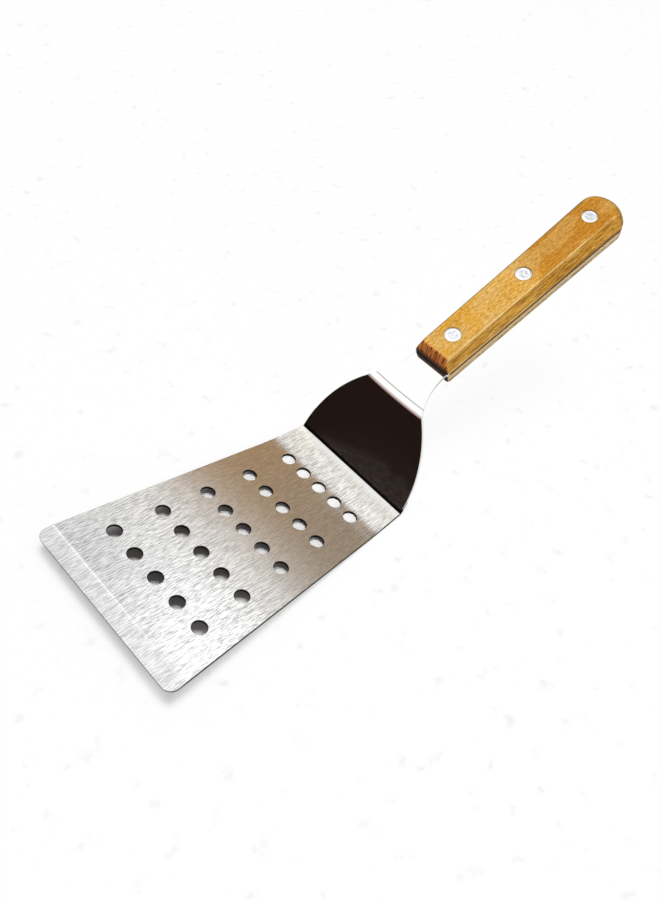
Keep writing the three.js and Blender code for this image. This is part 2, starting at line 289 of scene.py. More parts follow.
class Field:
    """A socket's value, so that node maths reads as plain expressions."""

    def __init__(self, kit, socket):
        self.kit = kit
        self.socket = socket

    __add__ = node_operator("ADD")
    __radd__ = node_operator("ADD", swapped=True)
    __sub__ = node_operator("SUBTRACT")
    __rsub__ = node_operator("SUBTRACT", swapped=True)
    __mul__ = node_operator("MULTIPLY")
    __rmul__ = node_operator("MULTIPLY", swapped=True)
    __truediv__ = node_operator("DIVIDE")
    __rtruediv__ = node_operator("DIVIDE", swapped=True)

    def __abs__(self):
        return self.kit.math("ABSOLUTE", self)


class NodeKit:
    """Adds nodes to one tree, with their settings and sockets given in the call."""

    def __init__(self, tree):
        self.tree = tree
        tree.nodes.clear()

    def add(self, kind, settings=None, sockets=None, output=0):
        node = self.tree.nodes.new(kind)
        for name, value in (settings or {}).items():
            if name == "stops":
                self.set_stops(node.color_ramp, value)
            else:
                setattr(node, name, value)
        for name, value in (sockets or {}).items():
            self.feed(node.inputs[name], value)
        return Field(self, node.outputs[output]) if node.outputs else node

    def feed(self, socket, value):
        if isinstance(value, Field):
            self.tree.links.new(value.socket, socket)
        elif socket.type == "RGBA" and len(value) == 3:
            socket.default_value = (*value, 1.0)
        else:
            socket.default_value = value

    def set_stops(self, ramp, stops):
        while len(ramp.elements) < len(stops):
            ramp.elements.new(1.0)
        for element, (place, shade) in zip(ramp.elements, stops):
            element.position = place
            element.color = (*shade, 1.0)

    def math(self, operation, *values):
        return self.add("ShaderNodeMath", {"operation": operation}, dict(enumerate(values)))

    def largest(self, first, second):
        return self.math("MAXIMUM", first, second)

    def smallest(self, first, second):
        return self.math("MINIMUM", first, second)

    def smooth(self, value, start, end):
        """Rises from 0 at start to 1 at end, or falls where end is below start."""
        low, high = min(start, end), max(start, end)
        ends = (0.0, 1.0) if end > start else (1.0, 0.0)
        return self.add(
            "ShaderNodeMapRange",
            {"interpolation_type": "SMOOTHSTEP"},
            {
                "Value": value,
                "From Min": low,
                "From Max": high,
                "To Min": ends[0],
                "To Max": ends[1],
            },
        )

    def blend(self, share, first, second, mode="MIX"):
        """Mixes two colours."""
        settings = {"data_type": "RGBA", "blend_type": mode}
        return self.add("ShaderNodeMix", settings, {0: share, 6: first, 7: second}, output=2)

    def layered(self, shade, *layers):
        """Lays colours over a shade in order, each by its own share."""
        for share, coat in layers:
            shade = self.blend(share, shade, coat)
        return shade

    def split(self, vector):
        field = self.add("ShaderNodeSeparateXYZ", {}, {"Vector": vector})
        return tuple(Field(self, each) for each in field.socket.node.outputs)

    def join(self, x, y, z):
        return self.add("ShaderNodeCombineXYZ", {}, {"X": x, "Y": y, "Z": z})

    def seen(self):
        """1 for what the camera sees, straight or in metal or glass."""
        camera = self.add("ShaderNodeLightPath", {}, {}, output="Is Camera Ray")
        outputs = camera.socket.node.outputs
        shown = self.largest(camera, Field(self, outputs["Is Glossy Ray"]))
        return self.largest(shown, Field(self, outputs["Is Transmission Ray"]))

    def object_place(self):
        return self.add("ShaderNodeTexCoord", {}, {}, output="Object")

    def local_place(self, matrix):
        """Object coordinates, carried into the frame of a matrix."""
        turn = matrix.to_euler()
        return self.add(
            "ShaderNodeMapping",
            {"vector_type": "TEXTURE"},
            {"Vector": self.object_place(), "Location": matrix.translation, "Rotation": turn},
        )

    def grain(self, vector, per_metre, detail=2.0, roughness=0.5):
        """Noise with its own fineness along each axis, as counts per metre."""
        stretched = self.add(
            "ShaderNodeMapping", {"vector_type": "POINT"}, {"Vector": vector, "Scale": per_metre}
        )
        return self.add(
            "ShaderNodeTexNoise",
            {"noise_dimensions": "3D"},
            {"Vector": stretched, "Scale": 1.0, "Detail": detail, "Roughness": roughness},
        )


def new_material(name):
    material = bpy.data.materials.new(name)
    material.use_nodes = True
    return material, NodeKit(material.node_tree)


def finish_material(kit, sockets, bump_height, bump_distance, bump_strength=1.0):
    """Ends a material in one principled shader with a bump."""
    normal = kit.add(
        "ShaderNodeBump",
        {},
        {"Strength": bump_strength, "Distance": bump_distance, "Height": bump_height},
    )
    shader = kit.add("ShaderNodeBsdfPrincipled", {}, {**sockets, "Normal": normal})
    kit.add("ShaderNodeOutputMaterial", {}, {"Surface": shader})


def finish_glow(kit, shade, strength=1.0):
    """Ends a material in plain light of a shade."""
    glow = kit.add("ShaderNodeEmission", {}, {"Color": shade, "Strength": strength})
    kit.add("ShaderNodeOutputMaterial", {}, {"Surface": glow})


def geometry_tree(name, stock=(), counts=(), numbers=()):
    """An empty geometry tree with named inputs, its kit and a field for each input."""
    tree = bpy.data.node_groups.new(name, "GeometryNodeTree")
    kit = NodeKit(tree)
    kinds = (("Geometry", stock), ("Int", counts), ("Float", numbers))
    for kind, labels in kinds:
        for label in labels:
            tree.interface.new_socket(name=label, in_out="INPUT", socket_type=f"NodeSocket{kind}")
    tree.interface.new_socket(name="Geometry", in_out="OUTPUT", socket_type="NodeSocketGeometry")
    entry = tree.nodes.new("NodeGroupInput")
    labels = (*stock, *counts, *numbers)
    fields = {label: Field(kit, entry.outputs[label]) for label in labels}
    return tree, kit, fields


def end_tree(kit, geometry, material):
    real = kit.add("GeometryNodeRealizeInstances", {}, {"Geometry": geometry})
    dressed = kit.add("GeometryNodeSetMaterial", {}, {"Geometry": real, "Material": material})
    kit.add("NodeGroupOutput", {}, {"Geometry": dressed})


def grown(mesh, tree, values):
    """Runs a geometry tree on a mesh and gives the result as a plain mesh."""
    carrier = bpy.data.objects.new("carrier", mesh)
    bpy.context.scene.collection.objects.link(carrier)
    modifier = carrier.modifiers.new("Shape", "NODES")
    modifier.node_group = tree
    for item in tree.interface.items_tree:
        if item.in_out == "INPUT" and item.name in values:
            modifier[item.identifier] = values[item.name]
    graph = bpy.context.evaluated_depsgraph_get()
    result = bpy.data.meshes.new_from_object(carrier.evaluated_get(graph), depsgraph=graph)
    bpy.data.objects.remove(carrier)
    if not result.polygons:
        raise RuntimeError(f"the tree {tree.name} made no faces")
    return result


def add_piece(name, mesh, nodes):
    """Puts a finished mesh in the scene in place of its solids."""
    mesh.name = name
    mesh.shade_smooth()
    mesh.set_sharp_from_angle(angle=SMOOTH_ANGLE)
    piece = bpy.data.objects.new(name, mesh)
    bpy.context.scene.collection.objects.link(piece)
    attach(piece, "root")
    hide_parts(*nodes)
    return piece


# Shape of the sheet


class Run:
    """One stretch of the sheet's middle line: a flat, or a bend of even radius."""

    def __init__(self, heading, turn=0.0, radius=0.0):
        self.heading = heading
        self.turn = turn
        self.length = abs(turn) * radius
        self.setback = radius * math.tan(abs(turn) / 2)
        self.start = 0.0
        self.origin = (0.0, 0.0)

    def reach(self, along):
        """How far forward and up the line goes when this stretch is followed."""
        if not self.turn:
            return along * math.cos(self.heading), along * math.sin(self.heading)
        radius = self.length / self.turn
        heading = self.heading + along / radius
        forward = radius * (math.sin(heading) - math.sin(self.heading))
        up = radius * (math.cos(self.heading) - math.cos(heading))
        return forward, up


class Sheet:
    """The steel before and after bending. Distances run along it from the front edge."""

    # Steps along each curve and across the blank, and edges that hold a bend's ends flat
    BEND_STEPS = 14
    CORNER_STEPS = 10
    NECK_STEPS = 44
    BUTT_STEPS = 20
    GRIND_STEPS = 6
    ACROSS_STEPS = 14
    SHORTEST_STEP = 0.05 * MM
    SUPPORT = 0.35 * MM
    # Power of the hollow grind, and the most of the thickness that a broken edge takes
    HOLLOW = 0.8
    BREAK_SHARE = 0.35

    def __init__(self, sizes):
        self.sizes = sizes
        half = sizes.sheet / 2
        self.fold = Run(-sizes.rise, sizes.rise, sizes.fold_radius + half)
        self.crease = Run(0.0, sizes.shoulder_angle, sizes.crease_radius + half)
        neck_turn = sizes.handle_angle - sizes.shoulder_angle
        self.neck = Run(sizes.shoulder_angle, neck_turn, sizes.neck_bend_radius + half)
        blade = Run(-sizes.rise)
        heel = Run(0.0)
        shoulder = Run(sizes.shoulder_angle)
        tang = Run(sizes.handle_angle)
        blade.length = sizes.blade - self.fold.setback
        heel.length = sizes.heel - self.fold.setback - self.crease.setback
        shoulder.length = sizes.shoulder - self.crease.setback - self.neck.setback
        tang.length = sizes.handle
        self.runs = [blade, self.fold, heel, self.crease, shoulder, self.neck, tang]
        self.place_runs(lift_from=heel, height=half)
        self.draw_outline()

    def place_runs(self, lift_from, height):
        forward, up, start = 0.0, 0.0, 0.0
        for run in self.runs:
            run.start = start
            run.origin = (forward, up)
            step = run.reach(run.length)
            forward += step[0]
            up += step[1]
            start += run.length
        lift = height - lift_from.origin[1]
        for run in self.runs:
            run.origin = (run.origin[0], run.origin[1] + lift)

    def draw_outline(self):
        sizes = self.sizes
        self.heel_half = sizes.heel_width / 2
        self.neck_half = sizes.neck_width / 2
        self.front_half = sizes.handle_front / 2
        self.butt_half = sizes.handle_butt / 2
        reach = sizes.shoulder_radius + sizes.neck_radius
        drop = reach - self.heel_half + self.neck_half
        self.neck_run = math.sqrt(reach**2 - drop**2)
        self.round_run = self.neck_run * sizes.shoulder_radius / reach
        self.crease_at = self.crease.start + self.crease.length / 2
        self.neck_end_at = self.crease_at + self.neck_run
        bends_end_at = self.neck.start + self.neck.length
        self.handle_at = max(self.neck_end_at, bends_end_at) + sizes.setback
        self.butt_start = sizes.handle - sizes.butt_round
        self.bend_half = self.half_width(self.neck.start)

    def frame(self, distance):
        """Frame on the sheet: x along it, z out of its upper face."""
        run = self.runs[0]
        for each in self.runs:
            if each.start <= distance:
                run = each
        along = distance - run.start
        step = run.reach(along)
        heading = run.heading + (run.turn * along / run.length if run.turn else 0.0)
        place = Vector((run.origin[0] + step[0], 0.0, run.origin[1] + step[1]))
        return Matrix.Translation(place) @ Matrix.Rotation(-heading, 4, "Y")

    def handle_half(self, from_front):
        sizes = self.sizes
        if from_front >= self.butt_start:
            into = min(1.0, (from_front - self.butt_start) / sizes.butt_round)
            return self.butt_half * math.sqrt(1 - into**2)
        side = lerp(self.front_half, self.butt_half, from_front / self.butt_start)
        corner = sizes.handle_corner
        into = max(0.0, corner - from_front)
        return max(self.neck_half, side - corner + math.sqrt(corner**2 - into**2))

    def half_width(self, distance):
        sizes = self.sizes
        if distance >= self.handle_at:
            return self.handle_half(distance - self.handle_at)
        if distance >= self.neck_end_at:
            return self.neck_half
        if distance > self.crease_at + self.round_run:
            left = self.neck_end_at - distance
            return self.neck_half + sizes.neck_radius - math.sqrt(sizes.neck_radius**2 - left**2)
        if distance > self.crease_at:
            done = distance - self.crease_at
            fall = sizes.shoulder_radius - math.sqrt(sizes.shoulder_radius**2 - done**2)
            return self.heel_half - fall
        side = lerp(sizes.front_width / 2, self.heel_half, distance / self.crease_at)
        corner = sizes.front_corner
        into = max(0.0, corner - distance)
        return side - corner + math.sqrt(corner**2 - into**2)

    def upper_face(self, distance):
        """Height above the sheet's middle. The grind is a little hollow."""
        sizes = self.sizes
        ground = max(0.0, 1 - distance / sizes.grind) ** self.HOLLOW
        return sizes.sheet / 2 - ground * (sizes.sheet - sizes.front_edge)

    def stations(self):
        """Distances at which the flat blank gets an edge across it."""
        sizes = self.sizes
        places = {sizes.grind + self.SUPPORT}
        for turn in quarter_turns(self.CORNER_STEPS):
            places.add(sizes.front_corner * (1 - math.cos(turn)))
            places.add(self.handle_at + sizes.handle_corner * (1 - math.cos(turn)))
        for i in range(self.GRIND_STEPS):
            places.add(sizes.grind * (1 - (i / self.GRIND_STEPS) ** 2))
        for bend in (self.fold, self.crease, self.neck):
            end = bend.start + bend.length
            places.update((bend.start - self.SUPPORT, end + self.SUPPORT))
            for i in range(self.BEND_STEPS + 1):
                places.add(lerp(bend.start, end, i / self.BEND_STEPS))
        for i in range(self.NECK_STEPS + 1):
            places.add(self.crease_at + self.neck_run * i / self.NECK_STEPS)
        # The last place stays short of the butt's tip, where the width is nothing
        short_of_tip = 0.4
        for i in range(self.BUTT_STEPS):
            turn = i / (self.BUTT_STEPS - 1 + short_of_tip) * math.pi / 2
            places.add(self.handle_at + self.butt_start + sizes.butt_round * math.sin(turn))
        return spaced(places, self.SHORTEST_STEP)

    def flat_blank(self):
        """The blank before punching and bending, with its edges broken."""
        half_sheet = self.sizes.sheet / 2
        work = bmesh.new()
        loops = []
        for distance in self.stations():
            half = min(self.half_width(distance), STEEL_BOX[1].y)
            top = self.upper_face(distance)
            cut = min(self.sizes.edge_break, self.BREAK_SHARE * (top + half_sheet))
            steps = range(self.ACROSS_STEPS + 1)
            across = [lerp(cut - half, half - cut, i / self.ACROSS_STEPS) for i in steps]
            section = [(y, top) for y in across]
            section += [(half, top - cut), (half, cut - half_sheet)]
            section += [(y, -half_sheet) for y in reversed(across)]
            section += [(-half, cut - half_sheet), (-half, top - cut)]
            loops.append([work.verts.new((distance, y, z)) for y, z in section])
        bridge_loops(work, loops)
        return mesh_of(work, "flat_blank")

    def bow(self, distance, y):
        """How far the bend of the neck is drawn down the shoulder, most in its middle."""
        if distance < self.neck.start:
            near = (distance - self.crease_at) / (self.neck.start - self.crease_at)
        else:
            bend_end = self.neck.start + self.neck.length
            near = (self.handle_at - distance) / (self.handle_at - bend_end)
        near = min(1.0, max(0.0, near))
        aside = min(1.0, abs(y) / self.bend_half)
        return self.sizes.neck_bow * near**2 * (3 - 2 * near) * (1 - aside**2)

    def bend_mesh(self, mesh, shift):
        """Bends a flat mesh along the middle line."""
        rise = self.sizes.shoulder_angle
        up_shoulder = Vector((math.cos(rise), 0.0, math.sin(rise)))
        places = np.empty(len(mesh.vertices) * 3)
        mesh.vertices.foreach_get("co", places)
        places = places.reshape(-1, 3)
        for i, (distance, y, z) in enumerate(places):
            bent = self.frame(distance) @ Vector((0.0, y, z))
            bent -= up_shoulder * float(self.bow(distance, y))
            places[i] = bent.x + shift, bent.y, bent.z
        mesh.vertices.foreach_set("co", places.ravel())
        mesh.update()


def bridge_loops(work, loops):
    """Skins a row of equal loops and closes both ends."""
    size = len(loops[0])
    for lower, upper in zip(loops, loops[1:]):
        for i in range(size):
            j = (i + 1) % size
            work.faces.new((lower[i], lower[j], upper[j], upper[i]))
    work.faces.new(loops[0])
    work.faces.new(loops[-1])
    bmesh.ops.recalc_face_normals(work, faces=work.faces)


def mesh_of(work, name):
    mesh = bpy.data.meshes.new(name)
    work.to_mesh(mesh)
    work.free()
    return mesh


# Perforations and bores


def punch_tree(name, material):
    """Cuts rows of round holes through flat stock that lies on z = 0."""
    tree, kit, given = geometry_tree(
        name,
        stock=("Stock",),
        counts=("Rows", "Holes per row", "Sides"),
        numbers=(
            "First row",
            "Last row",
            "First spread",
            "Last spread",
            "Diameter",
            "Middle height",
            "Straight half",
            "Lower flare",
        ),
    )
    columns = given["Holes per row"]
    index = kit.add("GeometryNodeInputIndex")
    row = kit.math("FLOOR", index / columns)
    column = index - row * columns
    down = row / kit.largest(given["Rows"] - 1.0, 1.0)
    across = 2.0 * column / kit.largest(columns - 1.0, 1.0) - 1.0
    along = given["First row"] + down * (given["Last row"] - given["First row"])
    spread = given["First spread"] + down * (given["Last spread"] - given["First spread"])
    spots = kit.add(
        "GeometryNodePoints",
        {},
        {
            "Count": given["Rows"] * columns,
            "Position": kit.join(along, across * spread, given["Middle height"]),
        },
    )
    radius = given["Diameter"] / 2.0
    straight = given["Straight half"]
    # The middle two of these stretches are straight, and the ends can flare
    stretches = 4
    plug = kit.add(
        "GeometryNodeMeshCylinder",
        {"fill_type": "NGON"},
        {
            "Vertices": given["Sides"],
            "Side Segments": stretches,
            "Fill Segments": 1,
            "Radius": radius,
            "Depth": straight * float(stretches),
        },
        output="Mesh",
    )
    x, y, z = kit.split(kit.add("GeometryNodeInputPosition"))
    above = kit.largest(z - straight, 0.0)
    below = kit.largest(-1.0 * z - straight, 0.0) * given["Lower flare"]
    flare = 1.0 + (above + below) / radius
    cutter = kit.add(
        "GeometryNodeSetPosition",
        {},
        {"Geometry": plug, "Position": kit.join(x * flare, y * flare, z)},
    )
    cutters = kit.add("GeometryNodeInstanceOnPoints", {}, {"Points": spots, "Instance": cutter})
    real = kit.add("GeometryNodeRealizeInstances", {}, {"Geometry": cutters})
    cut = kit.add(
        "GeometryNodeMeshBoolean",
        {"operation": "DIFFERENCE", "solver": "EXACT"},
        {"Mesh 1": given["Stock"], "Mesh 2": real},
        output="Mesh",
    )
    end_tree(kit, cut, material)
    return tree


# Finishes

# How fine each pattern is along its three axes, in counts per metre
BRUSH_FINE = (250.0, 3400.0, 250.0)
BRUSH_COARSE = (60.0, 1700.0, 60.0)
SMUDGES = (30.0, 30.0, 30.0)
WOOD_PATCHES = (50.0, 110.0, 110.0)
WOOD_MOTTLE = (450.0, 1200.0, 1200.0)
WOOD_FIBRES = (75.0, 900.0, 900.0)
WOOD_HAIRS = (120.0, 1500.0, 1500.0)
WOOD_RAYS = (330.0, 1700.0, 450.0)
END_TICKS = (150.0, 1750.0, 150.0)
RIVET_GRIT = (700.0, 700.0, 300.0)
RIVET_SCRATCHES = (400.0, 3000.0, 400.0)
FLOOR_SPECKS = (110.0, 110.0, 110.0)

# Heights of the finishes' reliefs, and the shaded dish of the heel as height over squared length
STEEL_RELIEF = 0.04 * MM
WOOD_RELIEF = 0.06 * MM
RIVET_RELIEF = 0.04 * MM
HEEL_DISH = 0.9


def steel_material(sheet, colours, shift, handle):
    """Stainless sheet: brushed blade, polished shoulder and neck, painted highlights on the grind
    and heel, and painted shade in the crease, along edges and on the tang in the handle.
    """
    sizes = sheet.sizes
    material, kit = new_material("brushed_steel")
    place = kit.object_place()
    x, y, _ = kit.split(place)
    along, across, _ = kit.split(kit.local_place(handle))
    _, sideways, upward = kit.split(
        kit.add("ShaderNodeNewGeometry", {}, {}, output="True Normal")
    )

    # Zones from the front edge to the crease
    grind_x = sheet.frame(sizes.grind).translation.x + shift
    fold_x = sheet.frame(sheet.fold.start).translation.x + shift
    crease_x = sheet.frame(sheet.crease_at).translation.x + shift
    foot_x = crease_x - sizes.sheet / 2 * math.sin(sizes.shoulder_angle / 2)
    ground = kit.smooth(x, grind_x + 0.1 * MM, grind_x - 0.1 * MM)
    # Painted highlight along the rear edge of the grind, stronger to the left
    grind_highlight = kit.smooth(abs(x - grind_x), 1.1 * MM, 0.15 * MM)
    leftward = kit.smooth(y, -40.0 * MM, 10.0 * MM)
    calm_from = kit.smooth(x, fold_x - 75.0 * MM, fold_x - 40.0 * MM)
    calm = calm_from * kit.smooth(x, fold_x + 6.0 * MM, fold_x)
    # Painted warm reflection over the heel
    heel_reflection_share = kit.smooth(x, fold_x + 2.0 * MM, crease_x - 1.0 * MM)
    # Painted bright reflection on the heel next to the crease
    crease_highlight = kit.smooth(x, foot_x - 6.0 * MM, foot_x - 0.5 * MM)
    brushed = kit.smooth(x, foot_x + 0.15 * MM, foot_x - 0.05 * MM)
    # Painted shade in the crease at the foot of the shoulder
    past_foot = kit.smooth(x, foot_x - 0.05 * MM, foot_x + 0.1 * MM)
    crease_shade_share = past_foot * kit.smooth(x, foot_x + 1.1 * MM, foot_x + 0.4 * MM)
    # Cut edges and hole walls: a dark raw edge, darkened further as painted shade
    cut = brushed * kit.smooth(abs(upward), 0.92, 0.7)

    # Zones from the bend of the neck to the wood
    # Painted shade line where the bend of the neck ends
    bend_end = sheet.neck.start + sheet.neck.length - sheet.handle_at
    pressed_in = sizes.neck_bow * math.cos(sizes.shoulder_angle - sizes.handle_angle)
    aside = across / sheet.bend_half
    bend_off = along - bend_end + pressed_in * (1.0 - aside * aside)
    bend_line_shade = kit.smooth(abs(bend_off), 0.4 * MM, 0.15 * MM)
    # Painted shade on the neck's edges near the wood
    by_wood = kit.smooth(along, -16.0 * MM, -6.0 * MM)
    neck_edge_shade = by_wood * kit.smooth(abs(sideways), 0.6, 0.9)
    # Painted shade of the gap between the scales, on the tang inside the handle
    tang_shaded = kit.smooth(along, 1.2 * MM, 1.8 * MM)

    fine = kit.grain(place, BRUSH_FINE, detail=2.0, roughness=0.6)
    coarse = kit.grain(place, BRUSH_COARSE, detail=2.0, roughness=0.6)
    smudge = kit.grain(place, SMUDGES, detail=3.0)
    streak = fine * 0.8 + coarse * 0.2
    blade = kit.layered(
        colours.steel_dull,
        (kit.smooth(streak, 0.41, 0.57), colours.steel_bright),
        (0.55 * calm, colours.steel),
        (0.3 * ground, colours.steel_ground),
        (0.25 * grind_highlight * leftward, colours.steel_bright),
        (0.3 * heel_reflection_share, colours.heel_reflection),
        (0.85 * crease_highlight, (1.0, 1.0, 0.98)),
    )
    shade = kit.layered(
        colours.steel,
        (0.65 * bend_line_shade, colours.cut_steel_and_shade),
        (brushed, blade),
        (cut, colours.cut_steel_and_shade),
        (crease_shade_share, colours.crease_shade),
        (0.7 * neck_edge_shade, colours.cut_steel_and_shade),
        (tang_shaded, colours.tang_gap_shade),
    )
    matte = 0.08 + 0.04 * streak + 0.02 * smudge + 0.1 * ground
    polished = 0.04 + 0.04 * coarse + 0.03 * smudge
    rough = brushed * matte + (1.0 - brushed) * polished
    into_heel = kit.smallest(kit.largest(x - fold_x, 0.0), foot_x - fold_x)
    heel_dish = HEEL_DISH / STEEL_RELIEF * into_heel * into_heel
    finish_material(
        kit,
        {
            "Base Color": shade,
            "Metallic": 1.0 - 0.2 * tang_shaded,
            "Roughness": rough + 0.5 * tang_shaded + 0.3 * cut,
        },
        0.36 * streak * (brushed * 0.95 + 0.05) + heel_dish,
        STEEL_RELIEF,
    )
    return material


def end_grain(kit, sizes, colours, place, above_seat):
    """The share of a scale's front end at a place, and its colour, darkened low down by painted
    shade.
    """
    along, _, height = kit.split(place)
    rising = kit.largest(above_seat - sizes.front_upright, 0.0)
    slope = sizes.front_slope / (sizes.scale - sizes.front_upright)
    at_end = kit.smooth(along - slope * rising, 0.75 * MM, 0.3 * MM)
    tick = kit.grain(place, END_TICKS, detail=1.0)
    # Painted shade darkens the upright lower part and the foot of the end, and all of the lower
    # scale's end
    upright = kit.smooth(above_seat, 4.6 * MM, 3.0 * MM)
    foot = kit.smooth(above_seat, 3.0 * MM, 1.0 * MM)
    lower = kit.smooth(height, 0.5 * MM, -0.5 * MM)
    shade = kit.layered(
        colours.end_grain,
        (kit.smooth(tick, 0.5, 0.62), colours.end_tick_and_shade),
        (0.85 * upright, colours.end_tick_and_shade),
        (kit.largest(foot, lower), colours.dark_end_shade),
    )
    return at_end, shade


def wood_material(name, sheet, colours, handle, low_band, rear_edge, pale_land):
    """Oiled wood in the handle's frame: golden growth, flecks, painted highlight and shade along
    the edges, and a front end darkened low down by painted shade.
    """
    sizes = sheet.sizes
    material, kit = new_material(name)
    place = kit.local_place(handle)
    along, across, height = kit.split(place)
    seat = sizes.sheet / 2 + sizes.seat_gap
    above_seat = abs(height) - seat

    # Where the flat face ends
    front_half = sheet.front_half - sizes.front_inset
    butt_half = sheet.butt_half - sizes.butt_inset
    face_end = sizes.handle - sizes.butt_rounding
    widening = (butt_half - front_half) / (face_end - sizes.butt_face_round)
    past_arris = abs(across) - widening * along - front_half
    side = kit.smooth(past_arris, 0.0, 0.5 * MM)
    rear = kit.smooth(along, 56.0 * MM, 84.0 * MM)

    # Growth, lines and flecks
    patch = kit.grain(place, WOOD_PATCHES, detail=2.0)
    mottle = kit.grain(place, WOOD_MOTTLE, detail=2.0, roughness=0.6)
    fibre = kit.grain(place, WOOD_FIBRES, detail=3.0, roughness=0.6)
    hair = kit.grain(place, WOOD_HAIRS, detail=3.0, roughness=0.65)
    ray = kit.grain(place, WOOD_RAYS, detail=1.0)
    # On the sides, the deeper colour is painted shade, and the stronger dark lines are partly grain
    # and partly painted shade
    growth = kit.smooth(patch, 0.36, 0.64) * (1.0 - 0.7 * side)
    shade = kit.blend(growth, colours.wood_deep, colours.wood_pale)
    golden = 1.0
    # The lower scale's land is pale sapwood, partly painted light on that side; beyond it the wood
    # is golden
    if pale_land:
        land = sizes.lower_land
        golden = kit.smooth(above_seat, land - 0.5 * MM, land + 1.5 * MM)
        sappy = kit.blend(growth, colours.sapwood_deep, colours.sapwood)
        shade = kit.blend(golden, sappy, shade)
    glint = kit.smooth(mottle, 0.52, 0.68) * (0.5 - 0.35 * side)
    dark_line = kit.smooth(fibre, 0.52, 0.38) * (0.22 + 0.3 * side)
    hair_line = kit.smooth(hair, 0.51, 0.43) * (0.12 + side * (0.68 + 0.24 * rear))
    pale_line = kit.smooth(fibre, 0.54, 0.7) * (0.15 + 0.1 * side)
    shade = kit.layered(
        shade,
        (0.6 * kit.smooth(mottle, 0.47, 0.33), colours.wood_fleck),
        (glint, colours.pale_wood_and_highlight),
        (dark_line, colours.wood_fleck),
        (hair_line, colours.wood_fleck),
        (pale_line, colours.pale_wood_and_highlight),
    )
    aged = rear * golden * (1.0 - 0.85 * side) * (0.7 + 0.6 * kit.smooth(patch, 0.55, 0.4))
    shade = kit.blend(kit.smallest(aged, 1.0), shade, colours.wood_aged, "MULTIPLY")
    fleck = kit.smooth(ray, 0.62, 0.72)
    # Painted shade round the rivet heads
    ring = kit.smooth(rivet_reach(kit, sizes, along, across), 4.7 * MM, 4.2 * MM)

    # Painted highlight and shade along the edges, and a pale band along the lower edge
    straight = kit.smooth(along, face_end - 0.5 * MM, face_end - 4.0 * MM)
    left = kit.smooth(across, -1.0 * MM, 1.0 * MM)
    # Painted highlight on the right arris, patchy along the wood
    right_arris_highlight = kit.smooth(abs(past_arris), 0.4 * MM, 0.1 * MM) * straight * (1.0 - left)
    highlight_patches = 0.3 + 0.5 * kit.smooth(patch, 0.4, 0.58)
    # Painted shade on the left arris
    left_arris_shade = kit.smooth(abs(past_arris), 0.7 * MM, 0.2 * MM) * straight * left
    # A pale band along the lower edge, which on the upper scale turns to painted shade of the joint
    # towards the butt
    low_edge = kit.smooth(above_seat, low_band + 0.25 * MM, low_band - 0.25 * MM)
    low_shade = kit.blend(0.8 * rear, colours.pale_wood_and_highlight, rear_edge)
    # Painted shade round the butt's upper rim
    butt = kit.smooth(along, face_end - 1.0 * MM, face_end + 1.5 * MM)
    butt_rim_shade = butt * kit.smooth(above_seat, 7.8 * MM, 6.2 * MM)
    shade = kit.layered(
        shade,
        (0.5 * fleck, colours.wood_fleck),
        (0.4 * ring, colours.wood_edge_shade),
        (highlight_patches * right_arris_highlight, colours.pale_wood_and_highlight),
        (0.8 * left_arris_shade, colours.wood_edge_shade),
        (0.75 * low_edge * straight, low_shade),
        (0.6 * butt_rim_shade, colours.wood_edge_shade),
        end_grain(kit, sizes, colours, place, above_seat),
    )
    finish_material(
        kit,
        {
            "Base Color": shade,
            "Roughness": 0.44 + 0.12 * fibre + 0.1 * fleck,
            "Specular IOR Level": 0.07,
        },
        fibre * 0.5 + mottle * 0.3 - fleck * 0.4,
        WOOD_RELIEF,
        bump_strength=0.5,
    )
    return material


def rivet_reach(kit, sizes, along, across):
    """How far a place is from the axis of the nearest rivet."""
    pitch = (sizes.handle - sizes.rivet_first - sizes.rivet_last) / (len(RIVET_PLACES) - 1)
    turns = (along - sizes.rivet_first) / pitch
    off = (turns - kit.math("ROUND", turns)) * pitch
    return kit.math("SQRT", off * off + across * across)


def rivet_material(sizes, colours, handle):
    """Bright rivet heads with a ground middle."""
    material, kit = new_material("rivet_metal")
    place = kit.local_place(handle)
    along, across, _ = kit.split(place)
    middle = kit.smooth(rivet_reach(kit, sizes, along, across), 2.9 * MM, 2.0 * MM)
    grit = kit.grain(place, RIVET_GRIT, detail=2.0)
    scratch = kit.grain(place, RIVET_SCRATCHES, detail=2.0)
    ground = kit.blend(kit.smooth(grit, 0.4, 0.6), colours.rivet_ground, colours.rivet)
    finish_material(
        kit,
        {
            "Base Color": kit.blend(middle, colours.rivet, ground),
            "Metallic": 1.0,
            "Roughness": 0.16 + 0.2 * middle + 0.08 * scratch,
        },
        grit * middle + 0.2 * scratch,
        RIVET_RELIEF,
        bump_strength=0.6,
    )
    return material


# The handle's pieces

# Breaks, supporting edges and steps of a scale's outlines
SEAT_BREAK = 0.3 * MM
LAND_SUPPORT = 0.3 * MM
FRONT_SUPPORT = 0.4 * MM
FACE_BORDER = 0.25 * MM
CORNER_GROWTH = 0.3
SHORTEST_RISE = 0.012 * MM
SCALE_RISE_STEPS = 16
SCALE_CORNER_STEPS = 6
SCALE_SIDE_STEPS = 10
SCALE_BUTT_STEPS = 32


def scale_heights(sizes, land):
    """Heights above its seat at which a scale gets an outline."""
    top = sizes.scale
    heights = {0.0, SEAT_BREAK, land, land + LAND_SUPPORT}
    heights.update((sizes.front_upright, sizes.front_upright + FRONT_SUPPORT))
    for turn in quarter_turns(SCALE_RISE_STEPS)[1:]:
        heights.add(top * math.sin(turn))
        heights.add(top - sizes.arris * (1 - math.sin(turn)))
    return spaced(heights, SHORTEST_RISE, reverse=True)[::-1]


